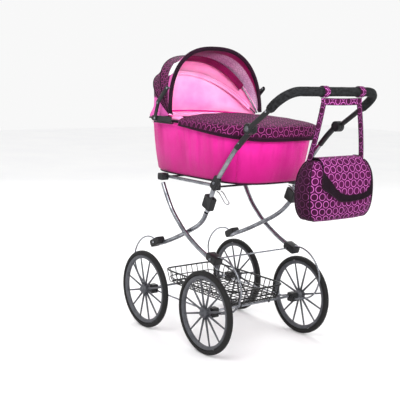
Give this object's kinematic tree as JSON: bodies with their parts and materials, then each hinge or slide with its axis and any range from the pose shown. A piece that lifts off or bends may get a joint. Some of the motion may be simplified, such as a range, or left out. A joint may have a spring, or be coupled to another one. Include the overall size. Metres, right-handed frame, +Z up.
{
  "type": "doll pram",
  "caption": "Retro doll's pram: fabric carrycot with folding hood and foot cover on a sprung wire chassis, with spoked wheels, adjustable push handle, wire tray and shoulder bag.",
  "frame": {"origin": "on the ground, under the centre of the whole pram's box", "axes": "+X towards the person who pushes, +Y towards that person's right, +Z up"},
  "size_m": [0.825, 0.454, 0.9757],
  "materials": {
    "chrome": "bright plated tube and wire",
    "black_plastic": "moulded, satin",
    "wheel_plastic": "moulded, dark grey satin",
    "tyre_rubber": "smooth black",
    "tray_wire": "black coated wire",
    "foam": "closed-cell foam, matt, worn",
    "pink_fabric": "smooth woven polyester, hot pink",
    "lining_fabric": "smooth lining, light pink",
    "patterned_fabric": "dark magenta printed with lilac rings",
    "binding": "dark plum tape"
  },
  "bodies": {
    "chassis": {"clamp_front_left": "black_plastic", "clamp_front_right": "black_plastic", "axle_front": "chrome", "clamp_rear_left": "black_plastic", "clamp_rear_right": "black_plastic", "axle_rear": "chrome", "spring_left": "chrome", "front_leg_left": "chrome", "rear_leg_left": "chrome", "rail_left": "chrome", "hood_plate_left": "black_plastic", "spring_right": "chrome", "front_leg_right": "chrome", "rear_leg_right": "chrome", "rail_right": "chrome", "hood_plate_right": "black_plastic", "cross_rod_rear": "chrome", "cross_bar_front": "black_plastic", "cross_bar_rear": "black_plastic", "tray": "tray_wire", "cot_body": "pink_fabric", "cot_rim_binding": "binding", "mattress": "lining_fabric", "foot_cover": "patterned_fabric"},
    "front_left_wheel": {"wheel_front_left": "wheel_plastic", "tyre_front_left": "tyre_rubber"},
    "front_right_wheel": {"wheel_front_right": "wheel_plastic", "tyre_front_right": "tyre_rubber"},
    "rear_left_wheel": {"wheel_rear_left": "wheel_plastic", "tyre_rear_left": "tyre_rubber"},
    "rear_right_wheel": {"wheel_rear_right": "wheel_plastic", "tyre_rear_right": "tyre_rubber"},
    "push_handle": {"handle_tube_left": "chrome", "handle_tube_right": "chrome", "handle_pivot_left": "black_plastic", "handle_pivot_right": "black_plastic", "tilt_housing_left": "black_plastic", "tilt_housing_right": "black_plastic"},
    "lock_left": {"lock_sleeve_left": "black_plastic"},
    "lock_right": {"lock_sleeve_right": "black_plastic"},
    "grip": {"grip_tube": "black_plastic", "foam_grip": "foam"},
    "button_left": {"tilt_button_left": "black_plastic"},
    "button_right": {"tilt_button_right": "black_plastic"},
    "bag_rings": {"bag_ring_left": "patterned_fabric", "bag_ring_right": "patterned_fabric"},
    "bag": {"bag_strap": "patterned_fabric", "bag_body": "patterned_fabric"},
    "flap": {"bag_flap": "patterned_fabric"},
    "wire_catch_left": {"catch_left": "chrome"},
    "wire_catch_right": {"catch_right": "chrome"},
    "hood_back": {"hood_hoop_back": "chrome", "hood_back_panel": "patterned_fabric"},
    "hood_middle": {"hood_hoop_middle": "chrome"},
    "hood_front": {"hood_hoop_front": "chrome", "hood_front_panel": "patterned_fabric"},
    "lower_stay_left": {"stay_lower_left": "black_plastic"},
    "upper_stay_left": {"stay_upper_left": "black_plastic"},
    "lower_stay_right": {"stay_lower_right": "black_plastic"},
    "upper_stay_right": {"stay_upper_right": "black_plastic"}
  },
  "joints": [
    {"name": "front_left_roll", "type": "hinge", "parent": "chassis", "child": "front_left_wheel", "pos_m": [-0.2775, -0.207, 0.135], "axis": [0, 1, 0], "continuous": true},
    {"name": "front_right_roll", "type": "hinge", "parent": "chassis", "child": "front_right_wheel", "pos_m": [-0.2775, 0.207, 0.135], "axis": [0, 1, 0], "continuous": true},
    {"name": "rear_left_roll", "type": "hinge", "parent": "chassis", "child": "rear_left_wheel", "pos_m": [0.0675, -0.207, 0.135], "axis": [0, 1, 0], "continuous": true},
    {"name": "rear_right_roll", "type": "hinge", "parent": "chassis", "child": "rear_right_wheel", "pos_m": [0.0675, 0.207, 0.135], "axis": [0, 1, 0], "continuous": true},
    {"name": "handle_fold", "type": "hinge", "parent": "chassis", "child": "push_handle", "pos_m": [0.067, 0, 0.548], "axis": [0, 1, 0], "range_deg": [0, 55]},
    {"name": "lock_left_slide", "type": "slide", "parent": "push_handle", "child": "lock_left", "axis": [0.3511, 0, 0.9363], "range_m": [0, 0.008]},
    {"name": "lock_right_slide", "type": "slide", "parent": "push_handle", "child": "lock_right", "axis": [0.3511, 0, 0.9363], "range_m": [0, 0.008]},
    {"name": "handle_tilt", "type": "hinge", "parent": "push_handle", "child": "grip", "pos_m": [0.23, 0, 0.728], "axis": [0, 1, 0], "range_deg": [-40, 25]},
    {"name": "button_left_press", "type": "slide", "parent": "grip", "child": "button_left", "axis": [0, 1, 0], "range_m": [0, 0.003], "stiffness_N_per_m": 300},
    {"name": "button_right_press", "type": "slide", "parent": "grip", "child": "button_right", "axis": [0, -1, 0], "range_m": [0, 0.003], "stiffness_N_per_m": 300},
    {"name": "bag_rings_turn", "type": "hinge", "parent": "grip", "child": "bag_rings", "pos_m": [0.387, 0, 0.842], "axis": [0, 1, 0], "range_deg": [-25, 40]},
    {"name": "bag_swing", "type": "hinge", "parent": "bag_rings", "child": "bag", "pos_m": [0.387, 0, 0.842], "axis": [0, 1, 0], "range_deg": [-55, 0]},
    {"name": "flap_lift", "type": "hinge", "parent": "bag", "child": "flap", "pos_m": [0.348, 0, 0.642], "axis": [0, -1, 0], "range_deg": [0, 50]},
    {"name": "catch_left_turn", "type": "hinge", "parent": "chassis", "child": "wire_catch_left", "pos_m": [0.055, -0.154, 0.519], "axis": [0, 1, 0], "range_deg": [-15, 45]},
    {"name": "catch_right_turn", "type": "hinge", "parent": "chassis", "child": "wire_catch_right", "pos_m": [0.055, 0.154, 0.519], "axis": [0, 1, 0], "range_deg": [-15, 45]},
    {"name": "hood_fold", "type": "hinge", "parent": "chassis", "child": "hood_back", "pos_m": [-0.16, 0, 0.742], "axis": [0, -1, 0], "range_deg": [0, 22], "deforming": ["hood_back_panel"]},
    {"name": "hood_middle_fold", "type": "hinge", "parent": "hood_back", "child": "hood_middle", "pos_m": [-0.16, 0, 0.742], "axis": [0, -1, 0], "range_deg": [0, 11], "deforming": ["hood_back_panel", "hood_front_panel"]},
    {"name": "hood_front_fold", "type": "hinge", "parent": "hood_middle", "child": "hood_front", "pos_m": [-0.16, 0, 0.742], "axis": [0, -1, 0], "range_deg": [0, 22], "deforming": ["hood_front_panel"]},
    {"name": "lower_stay_left_turn", "type": "hinge", "parent": "chassis", "child": "lower_stay_left", "pos_m": [-0.235, -0.206, 0.733], "axis": [0, -1, 0], "range_deg": [0, 101]},
    {"name": "upper_stay_left_turn", "type": "hinge", "parent": "hood_front", "child": "upper_stay_left", "pos_m": [-0.162, -0.209, 0.835], "axis": [0, -1, 0], "range_deg": [-54, 0]},
    {"name": "lower_stay_right_turn", "type": "hinge", "parent": "chassis", "child": "lower_stay_right", "pos_m": [-0.235, 0.206, 0.733], "axis": [0, -1, 0], "range_deg": [0, 101]},
    {"name": "upper_stay_right_turn", "type": "hinge", "parent": "hood_front", "child": "upper_stay_right", "pos_m": [-0.162, 0.209, 0.835], "axis": [0, -1, 0], "range_deg": [-54, 0]}
  ],
  "couplings": [
    {"joint": "hood_middle_fold", "follows": "hood_fold", "ratio": 0.5},
    {"joint": "hood_front_fold", "follows": "hood_fold", "ratio": 1},
    {"joint": "lower_stay_left_turn", "follows": "hood_fold", "ratio": 4.577},
    {"joint": "upper_stay_left_turn", "follows": "hood_fold", "ratio": -2.411},
    {"joint": "lower_stay_right_turn", "follows": "hood_fold", "ratio": 4.577},
    {"joint": "upper_stay_right_turn", "follows": "hood_fold", "ratio": -2.411},
    {"joint": "bag_rings_turn", "follows": "handle_tilt", "ratio": -1},
    {"joint": "bag_swing", "follows": "handle_fold", "ratio": -1}
  ]
}
